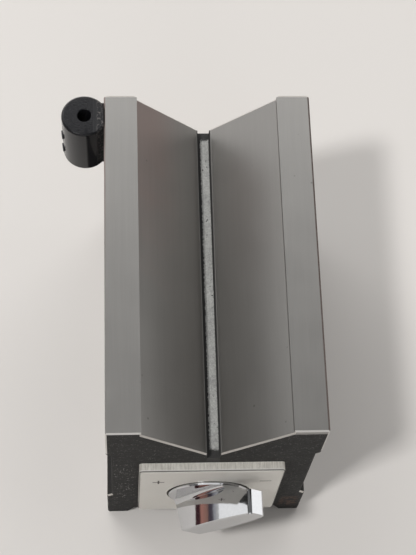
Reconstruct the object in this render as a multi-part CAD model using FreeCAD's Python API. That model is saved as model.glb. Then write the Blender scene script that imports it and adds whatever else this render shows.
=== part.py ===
import FreeCAD, Part
import math
import os

# A switchable magnetic V block that stands on its two ground feet with the V facing up.
# Millimetres. X runs across the block, Y along it with the switch knob towards -Y, and Z up.
# The origin is the middle of the block's footprint, on the surface it stands on.

# Block: two steel pole halves, left and right of a non-magnetic spacer
block_width = 70.0
block_length = 120.0
block_height = 96.0
front_edge_chamfer = 0.5
rear_edge_chamfer = 1.0
long_edge_chamfer = 0.5

# V groove and its flat lands
land_width = 11.2
land_step = 2.2
v_angle = 90.0
spacer_width = 4.2
slot_depth = 3.6

# Side faces: ground bands at the top and at the foot, relieved and painted between them
side_relief = 1.6
top_band_height = 23.0
foot_band_height = 22.4

# Underside: two feet with a shallow channel between them
foot_width = 7.5
foot_slope = 2.3
channel_height = 5.2

# Brass pins that hold the halves to the spacers
spacer_pin_radius = 2.0
spacer_pin_length = 15.0
spacer_pin_spacing = 70.0

# Rotor bore, lengthways through both halves
bore_radius = 18.0
axis_lift = 0.15
front_bearing_thickness = 8.0
rear_plug_thickness = 8.0
rear_journal_length = 5.0

# Magnet rotor
rotor_clearance = 0.3
end_play = 0.1
cap_thickness = 6.0
magnet_thickness = 13.0
rivet_radius = 2.0
rivet_offset = 12.0

# Journals at the rotor's ends, and the thinner shank that carries the knob
journal_radius = 5.0
running_clearance = 0.05
knob_shank_radius = 3.0
knob_shank_length = 9.5

# Stop that limits the switch to a quarter turn
switch_travel = 90.0
stop_pin_radius = 1.5
stop_pin_circle = 12.0
stop_pin_seat = 4.0
stop_pin_reach = 3.0
stop_groove_clearance = 0.25

# Face plate round the knob
plate_width = 48.2
plate_height = 48.7
plate_thickness = 3.2
plate_lift = 1.9
plate_corner_radius = 1.3
plate_edge_chamfer = 0.6
plate_hole_radius = 14.5
dowel_radius = 2.0
dowel_edge_distance = 5.0
dowel_plate_depth = 1.6
dowel_block_depth = 8.0

# Knob: a round flange that carries a lens-shaped lever with one end longer than the other
knob_rest_angle = 48.0
flange_radius = 13.9
flange_thickness = 2.8
flange_proud = 0.8
flange_edge_chamfer = 0.45
lever_height = 11.5
lever_half_width = 5.4
lever_tip_half_width = 3.4
lever_tip_length = 22.6
lever_heel_length = 9.3
lever_heel_root_length = 13.2
lever_widest_at = 5.0
lever_tip_radius = 1.5
lever_edge_chamfer = 0.3
lever_undercut = 3.1
lever_root_fillet = 1.6
knob_screw_radius = 1.5
knob_screw_length = 1.6

# Rod holder on the left side, at the rear
holder_radius = 7.75
holder_length = 23.8
holder_bite = 1.15
holder_rear_inset = 0.2
holder_top_chamfer = 0.8
holder_bore_radius = 2.25
holder_bore_chamfer = 0.35
holder_weld_width = 0.8
clamp_screw_radius = 1.5
clamp_screw_length = 5.3
clamp_screw_proud = 0.3
clamp_screw_angle = 8.0
clamp_screw_first = 11.7
clamp_screw_pitch = 9.0
clamp_screw_clearance = 0.05
hex_socket_width = 1.5
hex_socket_depth = 1.6

# How far a cut runs out past a face that it opens on
run_out = 1.0

# Places worked out from the sizes above
half_width = block_width / 2
half_length = block_length / 2
half_gap = spacer_width / 2
v_half_width = half_width - land_width
v_top = block_height - land_step
v_root = v_top - (v_half_width - half_gap) / math.tan(math.radians(v_angle / 2))
spacer_top = v_root - slot_depth
# The rotor's axis runs near the middle of the metal between the channel and the V's slot
axis_height = (channel_height + spacer_top) / 2 + axis_lift
plate_centre_height = axis_height + plate_lift
front = -half_length
rear = half_length
bearing_back = front + front_bearing_thickness
plug_front = rear - rear_plug_thickness
rotor_front = bearing_back + end_play
rotor_rear = plug_front - end_play
rotor_radius = bore_radius - rotor_clearance
core_front = rotor_front + cap_thickness
core_rear = rotor_rear - cap_thickness
plate_front = front - plate_thickness
flange_front = plate_front - flange_proud
flange_back = flange_front + flange_thickness
lever_front = flange_front - lever_height
lever_back = flange_front - lever_undercut
lever_root_radius = flange_radius - flange_edge_chamfer
shank_front = flange_back - knob_shank_length


def vec(x, y, z):
    return FreeCAD.Vector(x, y, z)


def rod(radius, start, end):
    """A round bar between two points."""
    span = end - start
    return Part.makeCylinder(radius, span.Length, start, span)


def disc(radius, y_start, y_end):
    """A round bar on the rotor's axis."""
    return rod(radius, vec(0, y_start, axis_height), vec(0, y_end, axis_height))


def along(radius, x, z, y_start, y_end):
    """A round bar parallel to the rotor's axis."""
    return rod(radius, vec(x, y_start, z), vec(x, y_end, z))


def box(x_range, y_range, z_range):
    low = vec(x_range[0], y_range[0], z_range[0])
    size = vec(x_range[1], y_range[1], z_range[1]) - low
    return Part.makeBox(size.x, size.y, size.z, low)


def prism(outline, y_start, y_end):
    """An outline of (x, z) points, drawn out along Y."""
    corners = [vec(x, y_start, z) for x, z in outline]
    wire = Part.makePolygon(corners + corners[:1])
    return Part.Face(wire).extrude(vec(0, y_end - y_start, 0))


def edges_where(shape, test):
    """The edges whose two ends both pass the test."""
    return [e for e in shape.Edges if len(e.Vertexes) == 2 and all(test(v.Point) for v in e.Vertexes)]


def near(a, b):
    return abs(a - b) < 1e-4


def turned(shape, angle):
    """The shape turned about the rotor's axis, from +X towards +Z."""
    copy = shape.copy()
    copy.rotate(vec(0, 0, axis_height), vec(0, -1, 0), angle)
    return copy


def save(name, shape):
    shape.exportStep("parts/" + name + ".step")


# Pole halves ------------------------------------------------------------------------------

def pole_outline():
    """One half's section, as (distance from the middle plane, height)."""
    foot_inner = half_width - foot_width
    side = half_width - side_relief
    return [
        (half_gap, channel_height),
        (foot_inner - foot_slope, channel_height),
        (foot_inner, 0),
        (half_width, 0),
        (half_width, foot_band_height),
        (side, foot_band_height + side_relief),
        (side, block_height - top_band_height - side_relief),
        (half_width, block_height - top_band_height),
        (half_width, block_height),
        (v_half_width, block_height),
        (v_half_width, v_top),
        (half_gap, v_root),
    ]


def pole_half():
    """The right half, before its dowel hole; the left one is its mirror image."""
    body = prism(pole_outline(), front, rear)
    for end, size in ((front, front_edge_chamfer), (rear, rear_edge_chamfer)):
        rim = edges_where(body, lambda p: near(p.y, end))
        rim = [e for e in rim if not all(near(v.X, half_gap) for v in e.Vertexes)]
        body = body.makeChamfer(size, rim)
    corners = edges_where(body, lambda p: near(p.x, half_width) and (near(p.z, block_height) or near(p.z, 0)))
    body = body.makeChamfer(long_edge_chamfer, corners)
    return drilled(body.cut(rotor_bore()))


def rotor_bore():
    return disc(bore_radius, front - run_out, rear + run_out)


def with_dowel_holes(body, deep):
    """The body with the dowels' holes sunk into it, from the block's front end."""
    for x, z in dowel_places():
        body = body.cut(along(dowel_radius, x, z, front, front + deep))
    return body


def mirrored(shape):
    return shape.mirror(vec(0, 0, 0), vec(1, 0, 0))


# Spacers and the pins through them ----------------------------------------------------------

def upper_spacer():
    strip = box((-half_gap, half_gap), (front, rear), (axis_height, spacer_top))
    return drilled(strip.cut(rotor_bore()))


def lower_spacer():
    strip = box((-half_gap, half_gap), (front, rear), (channel_height, axis_height))
    return drilled(strip.cut(rotor_bore()))


def drilled(body):
    """The body with the cross pins' holes through it."""
    for pin in spacer_pins():
        body = body.cut(pin)
    return body


def spacer_pins():
    """Two cross pins half way up the metal above the rotor bore, and one in the middle below it."""
    above = (axis_height + bore_radius + spacer_top) / 2
    below = (axis_height - bore_radius + channel_height) / 2
    reach = spacer_pin_length / 2
    places = [(-spacer_pin_spacing / 2, above), (spacer_pin_spacing / 2, above), (0, below)]
    return [rod(spacer_pin_radius, vec(-reach, y, z), vec(reach, y, z)) for y, z in places]


# Face plate -------------------------------------------------------------------------------

def dowel_places():
    """Two opposite corners of the plate, upper left and lower right, as (x, z)."""
    across = plate_width / 2 - dowel_edge_distance
    up = plate_height / 2 - dowel_edge_distance
    return [(side * across, plate_centre_height - side * up) for side in (-1, 1)]


def front_plate():
    low = plate_centre_height - plate_height / 2
    plate = box((-plate_width / 2, plate_width / 2), (plate_front, front), (low, low + plate_height))
    corners = [e for e in plate.Edges if e.BoundBox.YLength > plate_thickness / 2]
    plate = plate.makeFillet(plate_corner_radius, corners)
    rim = [e for e in plate.Edges if all(near(v.Y, plate_front) for v in e.Vertexes)]
    plate = plate.makeChamfer(plate_edge_chamfer, rim)
    plate = plate.cut(disc(plate_hole_radius, plate_front - run_out, front + run_out))
    return with_dowel_holes(plate, -dowel_plate_depth)


def plate_dowels():
    ends = (front - dowel_plate_depth, front + dowel_block_depth)
    return [along(dowel_radius, x, z, *ends) for x, z in dowel_places()]


# Bearings, one at each end of the rotor bore -----------------------------------------------------

def stop_groove():
    """A blind curved slot that lets the stop pin swing through the switch's travel."""
    half = stop_pin_radius + stop_groove_clearance
    depth = stop_pin_reach + end_play + stop_groove_clearance
    outer, inner = stop_pin_circle + half, stop_pin_circle - half
    y = bearing_back

    def at(radius, angle):
        a = math.radians(angle)
        return vec(radius * math.cos(a), y, axis_height + radius * math.sin(a))

    middle = switch_travel / 2
    swing = half / stop_pin_circle * 180 / math.pi
    path = Part.Wire([
        Part.Arc(at(outer, 0), at(outer, middle), at(outer, switch_travel)).toShape(),
        Part.Arc(at(outer, switch_travel), at(stop_pin_circle, switch_travel + swing),
                 at(inner, switch_travel)).toShape(),
        Part.Arc(at(inner, switch_travel), at(inner, middle), at(inner, 0)).toShape(),
        Part.Arc(at(inner, 0), at(stop_pin_circle, -swing), at(outer, 0)).toShape(),
    ])
    return turned(Part.Face(path).extrude(vec(0, -depth, 0)), stop_rest_angle())


def stop_rest_angle():
    """The stop pin sits a quarter turn round from the lever."""
    return knob_rest_angle + 90


def front_bearing():
    body = disc(bore_radius, front, bearing_back)
    body = body.cut(disc(journal_radius + running_clearance, front - run_out, bearing_back + run_out))
    return body.cut(stop_groove())


def rear_plug():
    """Closes the bore, with a blind hole for the rotor's rear journal."""
    body = disc(bore_radius, plug_front, rear)
    hole = disc(journal_radius + running_clearance, plug_front - run_out,
                plug_front + rear_journal_length + end_play)
    return body.cut(hole)


# Magnet rotor ---------------------------------------------------------------------------------

def rotor_rivets():
    places = (axis_height - rivet_offset, axis_height + rivet_offset)
    return [along(rivet_radius, 0, z, rotor_front, rotor_rear) for z in places]


def riveted(body):
    for rivet in rotor_rivets():
        body = body.cut(rivet)
    return body


def rotor_front_cap():
    """Turned in one piece with the front journal and the shank for the knob."""
    cap = disc(rotor_radius, rotor_front, core_front)
    journal = disc(journal_radius, flange_back + running_clearance, core_front)
    shank = disc(knob_shank_radius, shank_front, core_front)
    return riveted(cap.fuse([journal, shank]).removeSplitter()).cut(stop_pin())


def rotor_rear_cap():
    """Turned in one piece with the rear journal."""
    cap = disc(rotor_radius, core_rear, rotor_rear)
    journal = disc(journal_radius, core_rear, plug_front + rear_journal_length)
    return riveted(cap.fuse(journal).removeSplitter())


def rotor_magnet():
    slab = box((-rotor_radius, rotor_radius), (core_front, core_rear),
               (axis_height - magnet_thickness / 2, axis_height + magnet_thickness / 2))
    return slab.common(disc(rotor_radius, core_front, core_rear))


def rotor_shoe(side):
    """A steel segment above (+1) or below (-1) the magnet."""
    near_face = axis_height + side * magnet_thickness / 2
    far_face = axis_height + side * rotor_radius
    space = box((-rotor_radius, rotor_radius), (core_front, core_rear),
                sorted((near_face, far_face)))
    return riveted(space.common(disc(rotor_radius, core_front, core_rear)))


def stop_pin():
    pin = along(stop_pin_radius, stop_pin_circle, axis_height,
                rotor_front - end_play - stop_pin_reach, rotor_front + stop_pin_seat)
    return turned(pin, stop_rest_angle())


# Knob -----------------------------------------------------------------------------------------

def lever_outline(heel, tip):
    """The lever's plan, between bowed sides, with its tip corners rounded. Lever along +X."""
    mid = lever_widest_at

    def at(x, z):
        return vec(x, 0, axis_height + z)

    low = Part.Arc(at(heel, -lever_tip_half_width), at(mid, -lever_half_width),
                   at(tip, -lever_tip_half_width))
    high = Part.Arc(at(tip, lever_tip_half_width), at(mid, lever_half_width),
                    at(heel, lever_tip_half_width))
    end = Part.LineSegment(at(tip, -lever_tip_half_width), at(tip, lever_tip_half_width))
    start = Part.LineSegment(at(heel, lever_tip_half_width), at(heel, -lever_tip_half_width))
    return Part.Face(Part.Wire([low.toShape(), end.toShape(), high.toShape(), start.toShape()]))


def lever_bar():
    """The whole lever, from the flange's face to its front, its heel sloping back to the root."""
    plan = lever_outline(-lever_heel_root_length, lever_tip_length)
    plan.translate(vec(0, flange_front, 0))
    bar = plan.extrude(vec(0, -lever_height, 0))
    tip_corners = edges_where(bar, lambda p: near(p.x, lever_tip_length))
    tip_corners = [e for e in tip_corners if near(e.BoundBox.ZLength, 0)]
    bar = bar.makeFillet(lever_tip_radius, tip_corners)
    low = axis_height - lever_half_width - run_out
    behind = -lever_heel_root_length - run_out
    ahead = lever_front - run_out
    slope = Part.makePolygon([
        vec(behind, flange_front, low),
        vec(-lever_heel_root_length, flange_front, low),
        vec(-lever_heel_length, lever_front, low),
        vec(-lever_heel_length, ahead, low),
        vec(behind, ahead, low),
        vec(behind, flange_front, low),
    ])
    bar = bar.cut(Part.Face(slope).extrude(vec(0, 0, 2 * (axis_height - low))))
    rim = [e for e in bar.Edges if all(near(v.Y, lever_front) for v in e.Vertexes)]
    return bar.makeChamfer(lever_edge_chamfer, rim)


def knob():
    """Flange, lever and the hollow fillet between them; the long end stands clear of the plate."""
    bar = lever_bar()
    bed = disc(lever_tip_length + flange_radius, flange_front, flange_back)
    root = bed.fuse(bar).removeSplitter()
    seam = [e for e in root.Edges if on_lever_side(e)]
    root = root.makeFillet(lever_root_fillet, seam)
    root = root.common(disc(lever_root_radius, lever_back, flange_back))
    arm = bar.common(disc(lever_tip_length + flange_radius, lever_front, lever_back))
    flange = disc(flange_radius, flange_front, flange_back)
    edge = [e for e in flange.Edges if near(e.Vertexes[0].Y, flange_front) and near(e.BoundBox.YLength, 0)]
    flange = flange.makeChamfer(flange_edge_chamfer, edge)
    body = flange.fuse([root, arm]).removeSplitter()
    body = body.cut(disc(knob_shank_radius, shank_front, flange_back + run_out))
    return turned(body.cut(knob_screw_hole()), knob_rest_angle)


def on_lever_side(edge):
    """True on the two bowed seams where the lever's sides meet the flange's face."""
    flat = near(edge.BoundBox.YLength, 0) and near(edge.Vertexes[0].Y, flange_front)
    return flat and edge.Length > lever_heel_root_length and edge.BoundBox.ZLength < lever_half_width


def knob_screw_hole():
    """The set screw's hole comes in through the lever's lower side; lever along +X."""
    return knob_screw_bar(lever_half_width + run_out)


def knob_screw_bar(outer):
    """A round bar from the shank out to a distance below the rotor's axis; lever along +X."""
    y = (flange_front + shank_front) / 2
    seat = vec(0, y, axis_height - knob_shank_radius)
    return rod(knob_screw_radius, seat, vec(0, y, axis_height - outer))


def knob_screw():
    return turned(knob_screw_bar(knob_shank_radius + knob_screw_length), knob_rest_angle)


# Rod holder and its clamp screws ----------------------------------------------------------------

def holder_axis():
    x = -half_width - holder_radius + holder_bite
    y = rear - holder_rear_inset - holder_radius
    return x, y


def rod_holder():
    """A turned cylinder, ground flat on a chord and built up with weld where it meets the block."""
    x, y = holder_axis()
    low = block_height - holder_length
    body = rod(holder_radius, vec(x, y, low), vec(x, y, block_height))
    rim = [e for e in body.Edges if near(e.Vertexes[0].Z, block_height) and near(e.BoundBox.ZLength, 0)]
    body = body.makeChamfer(holder_top_chamfer, rim)
    weld_face = -half_width - holder_weld_width
    half_chord = math.sqrt(holder_radius ** 2 - (weld_face - x) ** 2)
    weld = box((weld_face, -half_width), (y - half_chord, y + half_chord),
               (low, block_height - holder_top_chamfer))
    body = body.fuse(weld).removeSplitter()
    beyond = box((-half_width, x + 2 * holder_radius), (y - holder_radius, y + holder_radius),
                 (low - run_out, block_height + run_out))
    body = body.cut(beyond)
    body = body.cut(rod(holder_bore_radius, vec(x, y, low - run_out), vec(x, y, block_height + run_out)))
    mouth = Part.makeCone(holder_bore_radius, holder_bore_radius + holder_bore_chamfer, holder_bore_chamfer,
                          vec(x, y, block_height - holder_bore_chamfer), vec(0, 0, 1))
    body = body.cut(mouth)
    outward = clamp_direction()
    for z in clamp_screw_heights():
        start = vec(x, y, z)
        body = body.cut(rod(clamp_screw_radius + clamp_screw_clearance, start,
                            start + outward * (holder_radius + run_out)))
    return body


def clamp_direction():
    """The screws point out to the left, turned a little towards the knob's end."""
    a = math.radians(clamp_screw_angle)
    return vec(-math.cos(a), -math.sin(a), 0)


def clamp_screw_heights():
    upper = block_height - clamp_screw_first
    return upper, upper - clamp_screw_pitch


def hexagon_socket(mouth, outward):
    """A hexagon socket's hole, sunk inwards from its mouth."""
    across_corners = hex_socket_width / math.cos(math.radians(30))
    side = outward.cross(vec(0, 0, 1))
    points = []
    for i in range(7):
        a = math.radians(60 * i)
        points.append(mouth + (side * math.cos(a) + vec(0, 0, 1) * math.sin(a)) * (across_corners / 2))
    return Part.Face(Part.makePolygon(points)).extrude(outward * -hex_socket_depth)


def clamp_screw(height):
    x, y = holder_axis()
    outward = clamp_direction()
    mouth = vec(x, y, height) + outward * (holder_radius + clamp_screw_proud)
    screw = rod(clamp_screw_radius, mouth - outward * clamp_screw_length, mouth)
    return screw.cut(hexagon_socket(mouth, outward))


# Write the pieces -------------------------------------------------------------------------------

def main():
    os.makedirs("parts", exist_ok=True)
    half = pole_half()
    upper, lower = clamp_screw_heights()
    save("right_pole", with_dowel_holes(half, dowel_block_depth))
    save("left_pole", with_dowel_holes(mirrored(half), dowel_block_depth))
    save("upper_spacer", upper_spacer())
    save("lower_spacer", lower_spacer())
    save("spacer_pins", Part.makeCompound(spacer_pins()))
    save("front_plate", front_plate())
    save("plate_dowels", Part.makeCompound(plate_dowels()))
    save("front_bearing", front_bearing())
    save("rear_plug", rear_plug())
    save("rotor_front_cap", rotor_front_cap())
    save("rotor_rear_cap", rotor_rear_cap())
    save("rotor_magnet", rotor_magnet())
    save("upper_shoe", rotor_shoe(1))
    save("lower_shoe", rotor_shoe(-1))
    save("rotor_rivets", Part.makeCompound(rotor_rivets()))
    save("stop_pin", stop_pin())
    save("knob", knob())
    save("knob_screw", knob_screw())
    save("rod_holder", rod_holder())
    save("upper_clamp_screw", clamp_screw(upper))
    save("lower_clamp_screw", clamp_screw(lower))


main()
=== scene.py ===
import math

import bmesh
import bpy
from mathutils import Matrix, Vector


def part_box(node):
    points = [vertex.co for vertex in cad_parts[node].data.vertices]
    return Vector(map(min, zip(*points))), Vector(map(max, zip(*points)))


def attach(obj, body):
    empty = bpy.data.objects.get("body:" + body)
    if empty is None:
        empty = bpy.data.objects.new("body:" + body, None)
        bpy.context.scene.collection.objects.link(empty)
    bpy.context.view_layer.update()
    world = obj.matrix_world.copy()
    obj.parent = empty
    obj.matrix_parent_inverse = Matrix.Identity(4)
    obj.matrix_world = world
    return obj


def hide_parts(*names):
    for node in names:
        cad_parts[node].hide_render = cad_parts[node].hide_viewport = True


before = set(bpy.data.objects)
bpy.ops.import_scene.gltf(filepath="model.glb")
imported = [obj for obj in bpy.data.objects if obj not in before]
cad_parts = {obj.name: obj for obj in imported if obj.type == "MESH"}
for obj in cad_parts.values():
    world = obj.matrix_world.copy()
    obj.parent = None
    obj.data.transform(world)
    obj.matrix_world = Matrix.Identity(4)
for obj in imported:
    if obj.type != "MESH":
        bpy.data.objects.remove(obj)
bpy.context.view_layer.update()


# Pole halves. Two blocks of tool steel, left and right of the middle strip. Their lands, V faces and
# bands are surface ground lengthways. The ends, the relieved sides and the channel below are left
# rough and brushed with black paint, which is worn off the chamfered edges. Those bare chamfers are
# painted much lighter than the ground steel, a painted highlight along the edges.

class Wire:
    """An output socket in a material's tree. Arithmetic on it adds Math nodes."""

    def __init__(self, tree, socket=None):
        self.tree = tree
        self.socket = socket

    def node(self, kind, settings, inputs, output=0):
        """Add a node, give it its settings and then its inputs, and return one of its outputs."""
        made = self.tree.nodes.new("ShaderNode" + kind)
        for name, value in settings.items():
            if name == "stops":
                made.color_ramp.elements.remove(made.color_ramp.elements[1])
                made.color_ramp.elements[0].position = value[0][0]
                made.color_ramp.elements[0].color = value[0][1]
                for position, colour in value[1:]:
                    made.color_ramp.elements.new(position).color = colour
            else:
                setattr(made, name, value)
        for name, value in inputs.items():
            if isinstance(value, Wire):
                self.tree.links.new(value.socket, made.inputs[name])
            else:
                made.inputs[name].default_value = value
        return Wire(self.tree, made.outputs[output]) if made.outputs else None

    def math(self, operation, *values):
        return self.node("Math", {"operation": operation}, dict(enumerate(values)))

    def __add__(self, other):
        return self.math("ADD", self, other)

    def __radd__(self, other):
        return self.math("ADD", other, self)

    def __sub__(self, other):
        return self.math("SUBTRACT", self, other)

    def __rsub__(self, other):
        return self.math("SUBTRACT", other, self)

    def __mul__(self, other):
        return self.math("MULTIPLY", self, other)

    def __rmul__(self, other):
        return self.math("MULTIPLY", other, self)

    def __abs__(self):
        return self.math("ABSOLUTE", self)

    def step(self, low, high):
        """0 below low and 1 above high, smooth between; the other way round if low is above high."""
        return self.node("MapRange", {"interpolation_type": "SMOOTHSTEP"},
                         {"Value": self, "From Min": low, "From Max": high})

    def between(self, low, high, soft):
        """1 from low to high and 0 outside, with soft edges."""
        return self.step(low - soft, low + soft) * self.step(high + soft, high - soft)

    def either(self, other):
        return self.math("MAXIMUM", self, other)


def start_finish(name):
    """A new material and its tree, with the place in millimetres and its three parts."""
    material = bpy.data.materials.new(name)
    material.use_nodes = True
    material.node_tree.nodes.clear()
    sheet = Wire(material.node_tree)
    metres = sheet.node("TexCoord", {}, {}, "Object")
    place = sheet.node("VectorMath", {"operation": "SCALE"}, {0: metres, "Scale": 1000.0})
    parts = [sheet.node("SeparateXYZ", {}, {0: place}, axis) for axis in range(3)]
    return material, sheet, place, parts


def facing(sheet):
    """How far the surface faces along X, Y and Z."""
    normal = sheet.node("TexCoord", {}, {}, "Normal")
    return [sheet.node("SeparateXYZ", {}, {0: normal}, axis) for axis in range(3)]


def grain(place, size, stretch=(1, 1, 1), detail=2.0, roughness=0.5, shift=0.0):
    """Noise from 0 to 1 with features of about that size in millimetres, longer where stretched."""
    scaled = place.node("VectorMath", {"operation": "MULTIPLY_ADD"},
                        {0: place, 1: [1 / (size * s) for s in stretch], 2: (shift, shift, shift)})
    return place.node("TexNoise", {}, {"Vector": scaled, "Scale": 1.0, "Detail": detail,
                                       "Roughness": roughness})


def specks(place, spacing, size):
    """Small round dots, about one in each cell of that spacing in millimetres."""
    far = place.node("TexVoronoi", {}, {"Vector": place, "Scale": 1 / spacing}, "Distance")
    return far.step(size / spacing, 0.5 * size / spacing)


def blend(mask, low, high):
    """One colour where the mask is 0, the other where it is 1."""
    colours = [c if isinstance(c, Wire) else (*c, 1.0) for c in (low, high)]
    return mask.node("Mix", {"data_type": "RGBA"}, {0: mask, 6: colours[0], 7: colours[1]}, 2)


def mix(mask, low, high):
    """One value where the mask is 0, the other where it is 1."""
    return mask.node("Mix", {"data_type": "FLOAT"}, {0: mask, 2: low, 3: high}, 0)


def tint(colour, amount):
    """The colour times a varying amount."""
    grey = amount.node("CombineColor", {}, {0: amount, 1: amount, 2: amount})
    return amount.node("Mix", {"data_type": "RGBA", "blend_type": "MULTIPLY"},
                       {0: 1.0, 6: colour, 7: grey}, 2)


def relief(height, depth, under=None):
    """A bump of that depth in millimetres from a height of 0 to 1, on top of another if given."""
    inputs = {"Height": height, "Strength": 1.0, "Distance": depth * 0.001}
    if under:
        inputs["Normal"] = under
    return height.node("Bump", {}, inputs)


def end_finish(material, sheet, colour, metallic, roughness, normal=None, **settings):
    """Close the tree with the surface shader, and return the material."""
    inputs = {"Base Color": colour, "Metallic": metallic, "Roughness": roughness}
    if normal:
        inputs["Normal"] = normal
    inputs.update(settings)
    shader = sheet.node("BsdfPrincipled", {}, inputs)
    sheet.node("OutputMaterial", {}, {"Surface": shader})
    return material


def give(material, *nodes):
    """Put the material on these CAD pieces."""
    for name in nodes:
        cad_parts[name].data.materials[0] = material


def black_paint(place):
    """Brushed black enamel over a rough casting: its colour, roughness and lumps."""
    lumps = grain(place, 1.1, detail=4.0, roughness=0.6)
    fine = grain(place, 0.35, detail=2.0, shift=7.0)
    broad = grain(place, 9.0, detail=2.0, shift=3.0)
    colour = blend(broad * 0.5 + fine * 0.5, (0.006, 0.006, 0.006), (0.03, 0.029, 0.027))
    roughness = mix(lumps, 0.6, 0.85)
    height = lumps * 0.7 + fine * 0.3
    return colour, roughness, height


def pole_finish():
    material, sheet, place, (x, y, z) = start_finish("ground_steel_and_black_paint")
    tilt_x, tilt_y, tilt_z = facing(sheet)
    face_x, face_y = abs(tilt_x), abs(tilt_y)
    out = abs(x)

    ragged = grain(place, 1.6, detail=3.0) - 0.5
    end_face = face_y.step(0.85, 0.95)
    bare_band = (z + ragged * 0.8).step(93.0, 93.4) * x.step(0.0, 0.1) * y.step(0.0, -0.1)
    end_paint = end_face * (1.0 - bare_band)
    side_paint = face_x.step(0.5, 0.6) * out.step(30.0, 31.0) * z.between(22.5, 72.9, 0.1)
    channel_paint = z.between(0.1, 5.6, 0.05) * out.step(28.2, 28.0)
    slot_paint = out.step(2.6, 2.2) * (z + ragged * 1.2).step(73.0, 72.6)
    edge = face_y.between(0.35, 0.85, 0.05)
    low_edge = edge * tilt_z.step(0.35, 0.3) * z.step(92.0, 91.0)
    worn = grain(place, 1.5, detail=4.0, shift=11.0).step(0.52, 0.68) * 0.7
    corner_band = out.step(33.8, 34.4) * z.step(73.5, 74.5) * edge
    low_edge = low_edge * (1.0 - worn) * (1.0 - corner_band)
    paint = end_paint.either(side_paint).either(channel_paint).either(slot_paint).either(low_edge)

    streaks = grain(place, 0.2, stretch=(1, 90, 1), detail=3.0)
    bands = grain(place, 1.8, stretch=(1, 50, 1), detail=2.0, shift=5.0)
    clouds = grain(place, 14.0, detail=3.0, shift=2.0)
    slope = face_x.between(0.6, 0.8, 0.05)
    shade = 0.86 + streaks * 0.12 + bands * 0.07 + clouds * 0.08
    warm = slope * x.step(-6.0, -19.0) * (y + clouds * 50.0).step(10.0, 75.0)
    steel = blend(warm, (0.30, 0.291, 0.278), (0.315, 0.262, 0.245))
    pits = specks(place, 5.0, 0.5) * grain(place, 9.0, detail=1.0, shift=14.0).step(0.52, 0.6)
    steel = blend(pits * 0.5, tint(steel, shade), (0.12, 0.115, 0.11))
    # Bare chamfers: worn-through steel, painted about twice as light as the ground faces as a painted
    # highlight.
    steel = blend(edge, steel, (0.62, 0.60, 0.57))
    stained = out.step(34.3, 34.5) * x.step(0.0, 1.0) * z.step(95.4, 95.6) * (1.0 - edge)
    steel = blend(stained * (0.75 + ragged * 0.5), steel, (0.075, 0.043, 0.036))
    steel_roughness = 0.32 + streaks * 0.08 + clouds * 0.05

    paint_colour, paint_roughness, paint_height = black_paint(place)
    left_strip = x.between(-32.9, -25.5, 1.5) * z.between(18.0, 63.0, 5.0)
    below_slope = x.between(-24.0, -18.5, 1.5) * z.between(68.0, 81.0, 3.0)
    chipped = left_strip.either(below_slope).either(0.3) * end_face * y.step(0.0, -1.0)
    dots = specks(place, 0.75, 0.26) * grain(place, 2.4, detail=2.0, shift=9.0).step(0.47, 0.56) * chipped
    paint_colour = blend(dots, paint_colour, (0.30, 0.29, 0.275))
    rust = x.between(27.0, 33.6, 0.8) * z.between(6.0, 17.5, 1.5) * y.step(0.0, -1.0)
    rust = rust * grain(place, 2.0, detail=4.0, shift=4.0).step(0.42, 0.55)
    paint_colour = blend(rust * 0.7, paint_colour, (0.10, 0.06, 0.045))

    colour = blend(paint, steel, paint_colour)
    roughness = mix(paint, steel_roughness, paint_roughness)
    metallic = 1.0 - paint
    smooth = relief(streaks, 0.003)
    bumpy = relief(paint_height * paint, 0.16, smooth)
    return end_finish(material, sheet, colour, metallic, roughness, bumpy, **{"Specular IOR Level": 0.25})


give(pole_finish(), "left_pole", "right_pole")


# Spacers. Strips of a non-magnetic alloy, cast rough, brazed between the halves above and below the
# magnet. The upper one's top is the floor of the slot in the V, with paint along its sides and ends.

def spacer_finish():
    material, sheet, place, (x, y, z) = start_finish("cast_spacer_alloy")
    pits = grain(place, 0.55, detail=5.0, roughness=0.75)
    cloud = grain(place, 6.0, detail=2.0, shift=3.0)
    ragged = grain(place, 0.9, detail=5.0, roughness=0.7, shift=8.0) - 0.5
    left = (x + ragged * 1.5).step(-0.95, -1.25)
    right = (x + ragged * 0.4).step(1.75, 1.95)
    ends = (abs(y) + ragged * 3.0).step(56.6, 57.6)
    stray = specks(place, 1.7, 0.35) * cloud.step(0.5, 0.62)
    paint = left.either(right).either(ends).either(stray)
    metal = blend((pits * 0.8 + cloud * 0.2).step(0.25, 0.75), (0.20, 0.20, 0.192), (0.53, 0.525, 0.50))
    black, black_roughness, black_height = black_paint(place)
    colour = blend(paint, metal, black)
    roughness = mix(paint, 0.5, black_roughness)
    metallic = mix(paint, 0.35, 0.0)
    bumpy = relief(pits + black_height * paint, 0.12)
    return end_finish(material, sheet, colour, metallic, roughness, bumpy)


give(spacer_finish(), "upper_spacer", "lower_spacer")


# Brass pieces: the cross pins through the halves, the front bearing, the rear plug, and the rotor's
# caps and rivets. All are turned from bar, so their faces carry fine rings round their own axis.

def brass_finish():
    material, sheet, place, (x, y, z) = start_finish("turned_brass")
    low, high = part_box("rear_plug")
    height = (low.z + high.z) * 500.0
    above = z - height
    reach = x.math("SQRT", x * x + above * above)
    rings = reach.node("TexNoise", {"noise_dimensions": "1D"},
                       {"W": reach, "Scale": 3.0, "Detail": 4.0}, "Fac")
    stain = grain(place, 5.0, detail=4.0)
    colour = blend(stain, (0.33, 0.21, 0.09), (0.70, 0.52, 0.27))
    return end_finish(material, sheet, colour, 1.0, 0.3 + stain * 0.25, relief(rings, 0.03))


give(brass_finish(), "spacer_pins", "front_bearing", "rear_plug", "rotor_front_cap", "rotor_rear_cap",
     "rotor_rivets")


# Magnet rotor: a sintered ferrite bar, magnetised across its thickness, between two steel segments.
# Turned a quarter turn by the knob, it either feeds the two halves or is shorted through them.

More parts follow.
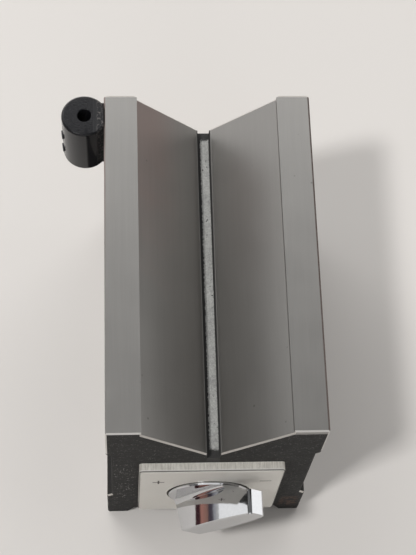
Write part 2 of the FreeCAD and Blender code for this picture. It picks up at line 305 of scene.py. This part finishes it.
def ferrite_finish():
    material, sheet, place, (x, y, z) = start_finish("sintered_ferrite")
    grit = grain(place, 0.4, detail=5.0, roughness=0.7)
    colour = blend(grit, (0.02, 0.02, 0.022), (0.09, 0.09, 0.095))
    return end_finish(material, sheet, colour, 0.0, 0.7 + grit * 0.2, relief(grit, 0.05))


def turned_steel_finish():
    material, sheet, place, (x, y, z) = start_finish("turned_steel")
    rings = y.node("TexNoise", {"noise_dimensions": "1D"}, {"W": y, "Scale": 4.0, "Detail": 4.0}, "Fac")
    oil = grain(place, 8.0, detail=3.0)
    colour = blend(oil, (0.36, 0.35, 0.33), (0.52, 0.51, 0.5))
    return end_finish(material, sheet, colour, 1.0, 0.25 + rings * 0.15, relief(rings, 0.02))


give(ferrite_finish(), "rotor_magnet")
give(turned_steel_finish(), "upper_shoe", "lower_shoe")


# Small steel fasteners: the plate's dowels, the rotor's stop pin, the knob's set screw and the two
# clamp screws of the rod holder. All are blackened in oil, with the corners rubbed bright.

def blackened_finish():
    material, sheet, place, (x, y, z) = start_finish("blackened_steel")
    wear = grain(place, 0.7, detail=4.0)
    colour = blend(wear.step(0.5, 0.75), (0.045, 0.045, 0.05), (0.2, 0.19, 0.18))
    return end_finish(material, sheet, colour, 0.8, 0.35 + wear * 0.2, relief(wear, 0.02))


give(blackened_finish(), "plate_dowels", "stop_pin", "knob_screw", "upper_clamp_screw", "lower_clamp_screw")


# Face plate. A square of steel sheet with a round hole, nickel plated over a coarse ground surface,
# set on two hidden dowels. It is grimy in the grain and darker along its outer edges, and carries the switch
# marks.

def plate_finish():
    material, sheet, place, (x, y, z) = start_finish("satin_nickel")
    low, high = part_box("front_plate")
    middle_z = (low.z + high.z) * 500.0
    half_x = (high.x - low.x) * 500.0
    half_z = (high.z - low.z) * 500.0
    from_front = y - low.y * 1000.0
    tilt_x, tilt_y, tilt_z = facing(sheet)
    speckle = grain(place, 0.45, detail=5.0, roughness=0.7)
    saw_marks = grain(place, 0.5, stretch=(1, 8, 8), detail=3.0)
    cloud = grain(place, 6.0, detail=3.0, shift=6.0)
    side = abs(tilt_y).step(0.4, 0.3)
    edge = abs(x).step(half_x - 1.4, half_x - 0.3).either(abs(z - middle_z).step(half_z - 1.4, half_z - 0.3))
    grime = (edge * 0.25 + cloud * 0.6 + speckle * 0.35).step(0.62, 1.05)
    nickel = blend(speckle * 0.7 + cloud * 0.3, (0.60, 0.575, 0.53), (0.74, 0.72, 0.675))
    scratched = (saw_marks * 0.6 + speckle * 0.4).step(0.3, 0.7)
    rough_side = blend(scratched, (0.56, 0.53, 0.47), (0.88, 0.85, 0.78))
    colour = blend(side, nickel, rough_side)
    colour = blend(grime * 0.45, colour, (0.26, 0.235, 0.20))
    # A light line painted on the side faces 0.6 to 0.95 mm behind the front: a painted highlight on the
    # edge.
    painted_edge_highlight = from_front.between(0.62, 0.95, 0.05)
    colour = blend(painted_edge_highlight * 0.6, colour, (0.85, 0.83, 0.79))
    # A dark line painted on the side faces 0.3 to 0.55 mm behind the front: painted shade where the edge
    # turns.
    painted_crease_shade = from_front.between(0.28, 0.55, 0.06)
    colour = blend(painted_crease_shade * 0.9, colour, (0.05, 0.045, 0.04))
    roughness = 0.42 + speckle * 0.15 + grime * 0.15
    return end_finish(material, sheet, colour, 0.3, roughness, relief(speckle + saw_marks * side, 0.04))


give(plate_finish(), "front_plate")


def mark_finish():
    material, sheet, place, (x, y, z) = start_finish("mark_ink")
    worn = grain(place, 0.3, detail=3.0)
    colour = blend(worn, (0.05, 0.045, 0.04), (0.16, 0.14, 0.12))
    return end_finish(material, sheet, colour, 0.0, 0.6 + worn * 0.2)


def switch_mark(name, centre, bars, ink):
    """A flat mark made of bars, each (width, height) in millimetres, stamped on the face plate."""
    plate_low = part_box("front_plate")[0]
    depth = 0.03
    mesh = bpy.data.meshes.new(name)
    shape = bmesh.new()
    for width, height in bars:
        size = Matrix.Diagonal((width, depth, height, 1.0))
        made = bmesh.ops.create_cube(shape, size=1.0, matrix=size)
        corners = [e for v in made["verts"] for e in v.link_edges]
        corners = {e for e in corners if abs(e.verts[0].co.y - e.verts[1].co.y) > depth / 2}
        bmesh.ops.bevel(shape, geom=list(corners), offset=0.12, segments=3, affect="EDGES")
    shape.to_mesh(mesh)
    shape.free()
    place = Vector((centre[0] * 0.001, plate_low.y, centre[1] * 0.001))
    mesh.transform(Matrix.Translation(place) @ Matrix.Scale(0.001, 4))
    mesh.materials.append(ink)
    mark = bpy.data.objects.new(name, mesh)
    bpy.context.scene.collection.objects.link(mark)
    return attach(mark, "block")


ink = mark_finish()
switch_mark("plus_mark", (-17.6, 51.2), [(4.0, 0.6), (0.6, 4.0)], ink)
switch_mark("minus_mark", (18.5, 51.0), [(4.0, 0.6)], ink)


# Knob. A zinc casting, polished and chromed: a round flange under a bowed lever, whose long end
# stands clear of the face plate. It is pushed on the rotor's shank and held by a set screw.

def chrome_finish():
    material, sheet, place, (x, y, z) = start_finish("bright_chrome")
    wave = grain(place, 3.0, detail=2.0)
    haze = grain(place, 1.2, detail=4.0, shift=4.0)
    colour = blend(haze, (0.54, 0.545, 0.555), (0.61, 0.615, 0.625))
    return end_finish(material, sheet, colour, 1.0, 0.03 + haze * 0.05, relief(wave, 0.008))


give(chrome_finish(), "knob")


# Rod holder. A short steel cylinder, bored for a rod and drilled for two clamp screws, welded to the
# left half at the rear and dipped in gloss black paint, which is scratched on top.

def eased_copy(node, name):
    """A copy of the CAD piece that shades its chamfers as rounded edges and keeps square corners sharp."""
    square_corner = math.radians(60.0)
    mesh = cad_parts[node].data.copy()
    shape = bmesh.new()
    shape.from_mesh(mesh)
    bmesh.ops.remove_doubles(shape, verts=shape.verts, dist=1e-6)
    bmesh.ops.dissolve_limit(shape, angle_limit=math.radians(0.3), verts=shape.verts, edges=shape.edges)
    shape.to_mesh(mesh)
    shape.free()
    mesh.shade_smooth()
    mesh.set_sharp_from_angle(angle=square_corner)
    rough = bpy.data.objects.new(name + "_faceted", mesh)
    bpy.context.scene.collection.objects.link(rough)
    ease = rough.modifiers.new("ease", "WEIGHTED_NORMAL")
    ease.weight = 100
    ease.keep_sharp = True
    done = bpy.data.meshes.new_from_object(rough.evaluated_get(bpy.context.evaluated_depsgraph_get()))
    bpy.data.objects.remove(rough)
    piece = bpy.data.objects.new(name, done)
    bpy.context.scene.collection.objects.link(piece)
    return piece


def holder_finish():
    material, sheet, place, (x, y, z) = start_finish("gloss_black_paint")
    tilt_x, tilt_y, tilt_z = facing(sheet)
    weld = x.step(-37.8, -36.9)
    top = tilt_z.step(0.8, 0.95)
    rough_top = top * x.step(-38.8, -38.3)
    scratches = grain(place, 0.25, stretch=(8, 1, 1), detail=4.0)
    lumps = grain(place, 0.8, detail=4.0, shift=5.0)
    colour = blend(lumps * 0.5 + scratches * 0.5, (0.004, 0.004, 0.005), (0.014, 0.014, 0.016))
    colour = blend(weld * lumps.step(0.5, 0.68), colour, (0.11, 0.10, 0.095))
    roughness = mix(weld.either(rough_top), mix(top, 0.13, 0.22), 0.55) + scratches * 0.05
    bumpy = relief(lumps * mix(weld, 0.06, 1.0), 0.4)
    bumpy = relief(scratches * top, 0.02, bumpy)
    return end_finish(material, sheet, colour, 0.0, roughness, bumpy, **{"Specular IOR Level": 0.32})


holder = eased_copy("rod_holder", "rod_holder_body")
holder.data.materials.clear()
holder.data.materials.append(holder_finish())
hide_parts("rod_holder")
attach(holder, "block")


# Stage: a plain pale floor and backdrop, a small lamp high on the left that casts the main shadow,
# large soft lamps low all round, and the camera above the knob's end, looking down into the V.

def stage_finish(colour):
    material, sheet, place, parts = start_finish("pale_stage")
    return end_finish(material, sheet, (*colour, 1.0), 0.0, 0.9)


def stage_sheet():
    """A floor that curves up into a backdrop far behind the block."""
    width, front, back, height, bend = 8.0, -4.0, 4.0, 0.5, 0.4
    profile = [(front, 0.0), (back - bend, 0.0)]
    for i in range(1, 13):
        a = math.radians(90 * i / 12)
        profile.append((back - bend + bend * math.sin(a), bend - bend * math.cos(a)))
    profile.append((back, height))
    mesh = bpy.data.meshes.new("floor")
    corners = [(side * width / 2, y, z) for y, z in profile for side in (-1, 1)]
    faces = [(2 * i, 2 * i + 1, 2 * i + 3, 2 * i + 2) for i in range(len(profile) - 1)]
    mesh.from_pydata(corners, [], faces)
    mesh.materials.append(stage_finish((0.675, 0.645, 0.615)))
    floor = bpy.data.objects.new("floor", mesh)
    bpy.context.scene.collection.objects.link(floor)
    for face in mesh.polygons:
        face.use_smooth = True


def soft_lamp(name, place, size, power):
    """A square lamp that faces the block's footprint."""
    lamp = bpy.data.lights.new(name, "AREA")
    lamp.size = size
    lamp.energy = power
    holder = bpy.data.objects.new(name, lamp)
    holder.location = place
    aim = -Vector(place)
    holder.rotation_euler = aim.to_track_quat("-Z", "Y").to_euler()
    bpy.context.scene.collection.objects.link(holder)


def add_camera():
    """Stands behind the knob's end, a little left, and looks steeply down along the V."""
    place = Vector((-0.03016, -0.19435, 0.53521))
    forward = Vector((0.05974, 0.39041, -0.91870)).normalized()
    right = Vector((0.99818, -0.03042, 0.05198)).normalized()
    up = right.cross(forward).normalized()
    lens = bpy.data.cameras.new("camera")
    lens.sensor_fit = "VERTICAL"
    lens.sensor_height = 24.0
    lens.lens = 64.03
    lens.clip_start = 0.01
    camera = bpy.data.objects.new("camera", lens)
    camera.matrix_world = Matrix((
        (right.x, up.x, -forward.x, place.x),
        (right.y, up.y, -forward.y, place.y),
        (right.z, up.z, -forward.z, place.z),
        (0.0, 0.0, 0.0, 1.0)))
    bpy.context.scene.collection.objects.link(camera)
    bpy.context.scene.camera = camera


def light_the_room(strength):
    world = bpy.data.worlds.new("room")
    world.use_nodes = True
    world.node_tree.nodes["Background"].inputs["Color"].default_value = (1.0, 1.0, 1.0, 1.0)
    world.node_tree.nodes["Background"].inputs["Strength"].default_value = strength
    bpy.context.scene.world = world


def reflected_room():
    """A glowing card low left of the block, no lamp, seen only in the knob's polish: a painted reflection,
    dark, warm and dark again.
    """
    material, sheet, place, (x, y, z) = start_finish("painted_reflection_card")
    mottle = grain(place, 4.0, detail=4.0)
    height = (z + mottle * 5.0 - 2.5).math("DIVIDE", z + mottle * 5.0 - 2.5, 100.0)
    colour = height.node("ValToRGB", {"stops": [
        (0.0, (0.06, 0.02, 0.022, 1.0)), (0.13, (0.045, 0.02, 0.026, 1.0)), (0.16, (0.46, 0.22, 0.18, 1.0)),
        (0.34, (0.30, 0.17, 0.14, 1.0)), (0.38, (0.07, 0.055, 0.07, 1.0)), (0.47, (0.09, 0.08, 0.10, 1.0)),
        (0.52, (0.35, 0.35, 0.38, 1.0)), (0.62, (0.62, 0.62, 0.62, 1.0))]}, {"Fac": height}, "Color")
    shader = sheet.node("Emission", {}, {"Color": colour, "Strength": 1.0})
    sheet.node("OutputMaterial", {}, {"Surface": shader})
    mesh = bpy.data.meshes.new("card")
    mesh.from_pydata([(-0.19, -0.25, 0), (-0.19, 0.25, 0), (-0.19, 0.25, 0.064), (-0.19, -0.25, 0.064)],
                     [], [(0, 1, 2, 3)])
    mesh.materials.append(material)
    card = bpy.data.objects.new("card", mesh)
    bpy.context.scene.collection.objects.link(card)
    card.visible_camera = card.visible_diffuse = card.visible_shadow = card.visible_transmission = False


stage_sheet()
reflected_room()
soft_lamp("ceiling_lamp", (-0.632, -0.442, 1.516), 0.17, 13.0)
soft_lamp("rear_left_lamp", (-0.843, 1.460, 1.414), 1.5, 21.0)
soft_lamp("rear_right_lamp", (0.843, 1.460, 1.414), 1.5, 14.4)
soft_lamp("low_left_lamp", (-1.840, 1.063, 0.569), 1.5, 7.0)
soft_lamp("low_right_lamp", (2.125, 0.0, 0.569), 1.5, 9.0)
soft_lamp("front_lamp", (0.0, -1.994, 0.930), 1.5, 5.5)
light_the_room(0.19)
add_camera()
bpy.context.scene.view_settings.view_transform = "Standard"
